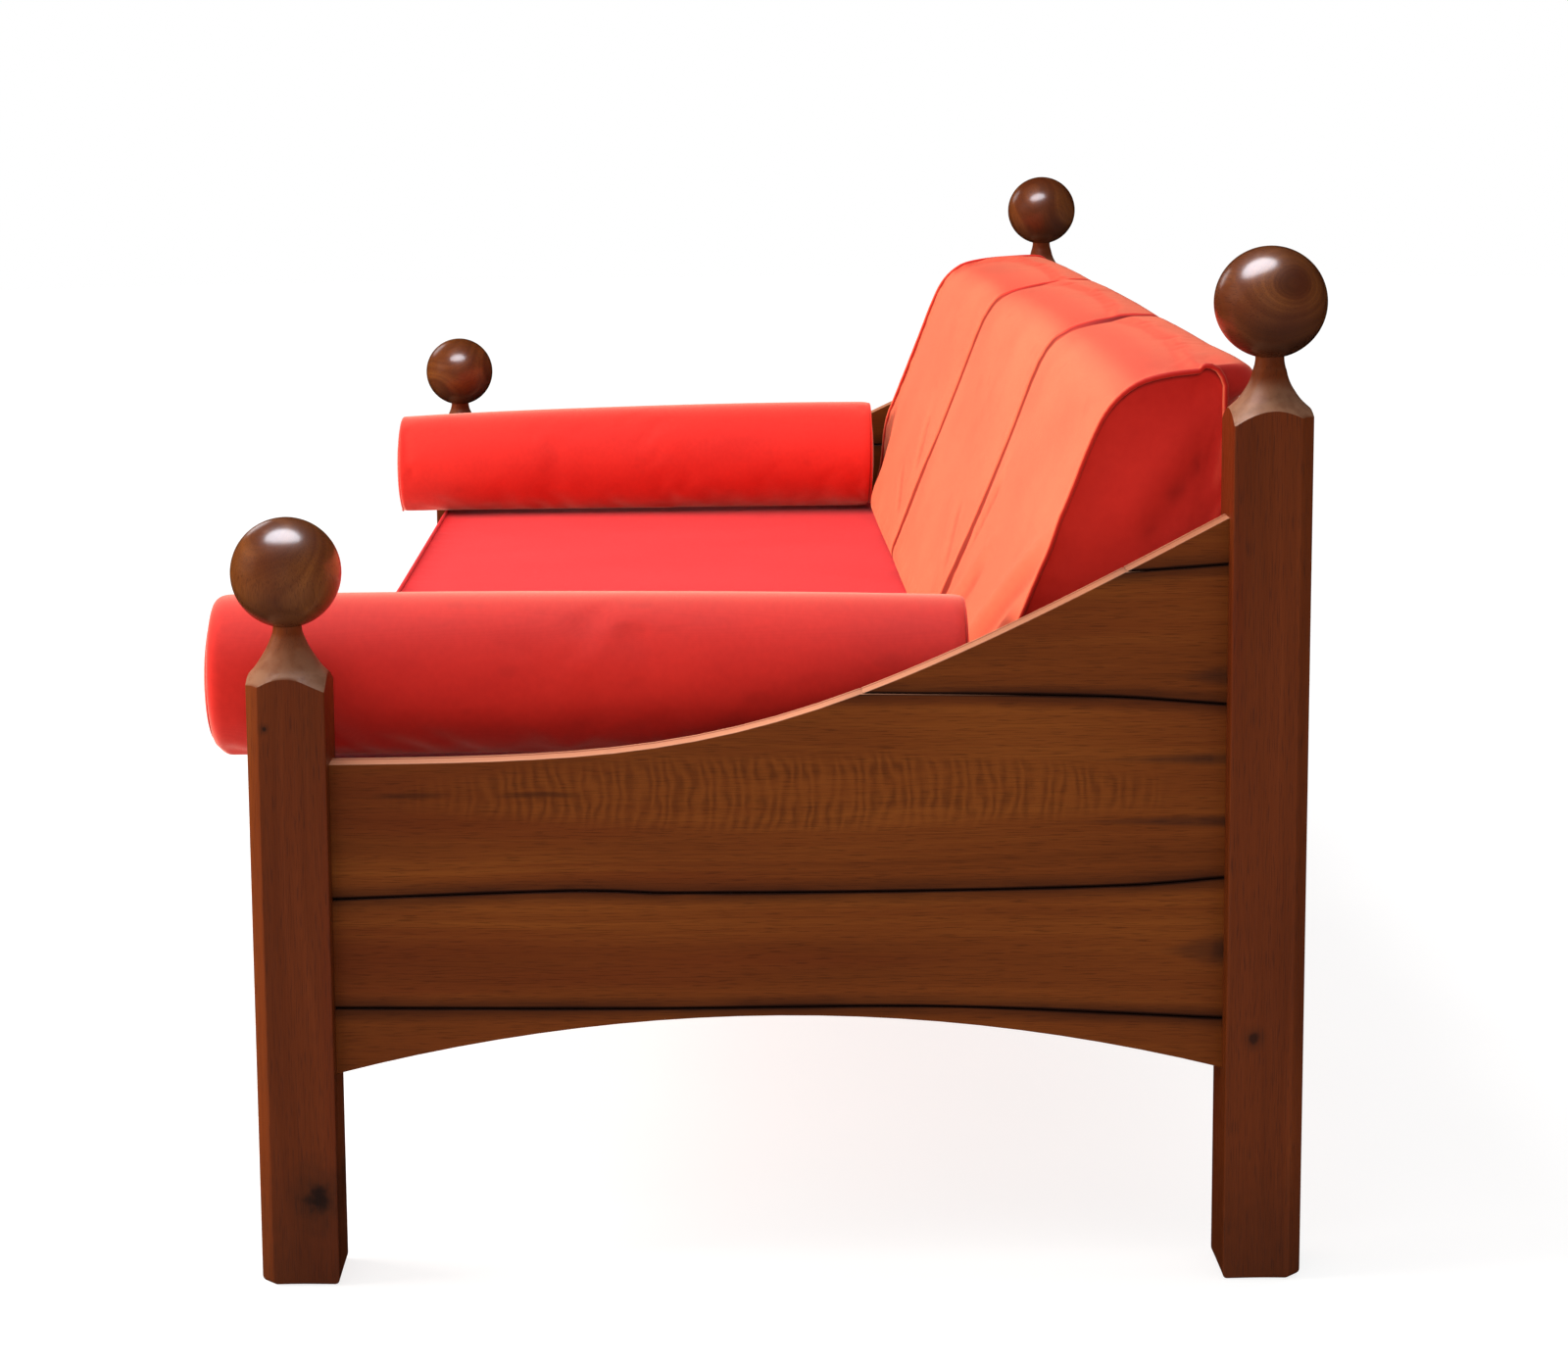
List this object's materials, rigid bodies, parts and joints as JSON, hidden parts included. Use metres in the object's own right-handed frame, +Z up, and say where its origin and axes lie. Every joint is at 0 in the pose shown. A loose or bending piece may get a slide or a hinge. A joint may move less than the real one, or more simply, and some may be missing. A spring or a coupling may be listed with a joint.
{
  "type": "daybed",
  "caption": "Walnut day bed with ball finials on square posts, swooping wave-jointed end panels, a mattress, a wedge back cushion and bolsters in red fabric.",
  "frame": {"origin": "on the floor, under the middle of the whole bed's outline", "axes": "+X along the bed to its right-hand end as seen from the front, +Y from the front to the back, +Z up"},
  "size_m": [2.0998, 1.0079, 0.9405],
  "materials": {
    "walnut_posts": "satin lacquer",
    "walnut_boards": "satin lacquer",
    "walnut_balls": "gloss lacquer",
    "pine": "planed, bare",
    "beech": "bare",
    "zinc_steel": "zinc plated",
    "red_seat_fabric": "satin-faced cotton",
    "red_back_fabric": "satin-faced cotton",
    "red_bolster_fabric": "satin-faced cotton"
  },
  "bodies": {
    "frame": {"post_front_right": "walnut_posts", "ball_front_right": "walnut_balls", "finial_dowel_front_right": "beech", "post_front_left": "walnut_posts", "ball_front_left": "walnut_balls", "finial_dowel_front_left": "beech", "post_back_right": "walnut_posts", "ball_back_right": "walnut_balls", "finial_dowel_back_right": "beech", "post_back_left": "walnut_posts", "ball_back_left": "walnut_balls", "finial_dowel_back_left": "beech", "end_board_right_1": "walnut_boards", "end_board_right_2": "walnut_boards", "end_board_right_3": "walnut_boards", "end_board_right_4": "walnut_boards", "end_board_right_5": "walnut_boards", "end_board_left_1": "walnut_boards", "end_board_left_2": "walnut_boards", "end_board_left_3": "walnut_boards", "end_board_left_4": "walnut_boards", "end_board_left_5": "walnut_boards", "front_rail_1": "walnut_boards", "front_rail_2": "walnut_boards", "back_board_1": "walnut_boards", "back_board_2": "walnut_boards", "back_board_3": "walnut_boards", "back_board_4": "walnut_boards", "ledger_front": "pine", "ledger_back": "pine", "slat_01": "pine", "slat_02": "pine", "slat_03": "pine", "slat_04": "pine", "slat_05": "pine", "slat_06": "pine", "slat_07": "pine", "slat_08": "pine", "slat_09": "pine", "slat_10": "pine", "bracket_front_right": "zinc_steel", "board_screw_front_right": "zinc_steel", "post_screw_front_right": "zinc_steel", "bracket_front_left": "zinc_steel", "board_screw_front_left": "zinc_steel", "post_screw_front_left": "zinc_steel", "bracket_back_right": "zinc_steel", "board_screw_back_right": "zinc_steel", "post_screw_back_right": "zinc_steel", "bracket_back_left": "zinc_steel", "board_screw_back_left": "zinc_steel", "post_screw_back_left": "zinc_steel"},
    "mattress": {"mattress": "red_seat_fabric"},
    "back_cushion": {"back_cushion": "red_back_fabric"},
    "bolster_right": {"bolster_right": "red_bolster_fabric"},
    "bolster_left": {"bolster_left": "red_bolster_fabric"}
  },
  "joints": [
    {"name": "mattress_lift", "type": "slide", "parent": "frame", "child": "mattress", "axis": [0, 0, 1], "range_m": [0, 0.3]},
    {"name": "back_cushion_lift", "type": "slide", "parent": "mattress", "child": "back_cushion", "axis": [0, 0, 1], "range_m": [0, 0.35]},
    {"name": "bolster_right_lift", "type": "slide", "parent": "mattress", "child": "bolster_right", "axis": [0, 0, 1], "range_m": [0, 0.3]},
    {"name": "bolster_left_lift", "type": "slide", "parent": "mattress", "child": "bolster_left", "axis": [0, 0, 1], "range_m": [0, 0.3]}
  ]
}
